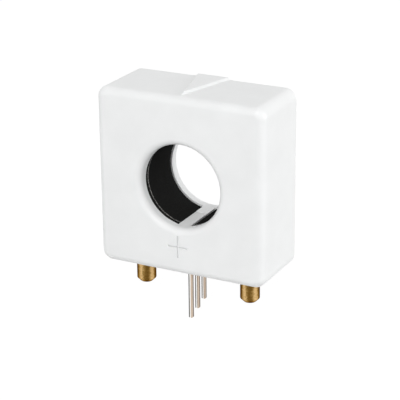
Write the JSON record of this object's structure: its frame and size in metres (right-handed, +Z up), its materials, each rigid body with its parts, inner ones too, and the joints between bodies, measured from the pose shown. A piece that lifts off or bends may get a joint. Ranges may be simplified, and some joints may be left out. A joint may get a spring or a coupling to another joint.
{
  "type": "hall effect current sensor",
  "caption": "Board-mounted current sensor: white moulded case with a round conductor hole, a gapped magnetic core, a Hall IC with leads, and brass mounting posts.",
  "frame": {"origin": "midway between the two mounting posts, on the underside of the case, which is the plane that sits on the circuit board", "axes": "+X to the right seen from the marked front, +Y from the front to the back along the conductor, +Z up from the board"},
  "size_m": [0.0192, 0.008, 0.0255],
  "materials": {
    "case_plastic": "white moulded polyester, satin",
    "core_coating": "black epoxy coating over ferrite, smooth",
    "resin": "cast epoxy resin",
    "ic_compound": "black moulded package",
    "silicon": "polished silicon",
    "tinned_lead": "tinned copper alloy, bright and slightly warm",
    "brass": "turned brass, plain"
  },
  "bodies": {
    "root": {"housing": "case_plastic", "rear_cover": "case_plastic", "core": "core_coating", "potting": "resin", "hall_body": "ic_compound", "hall_chip": "silicon", "lead_supply": "tinned_lead", "lead_ground": "tinned_lead", "lead_output": "tinned_lead", "post_left": "brass", "post_right": "brass"}
  },
  "joints": []
}
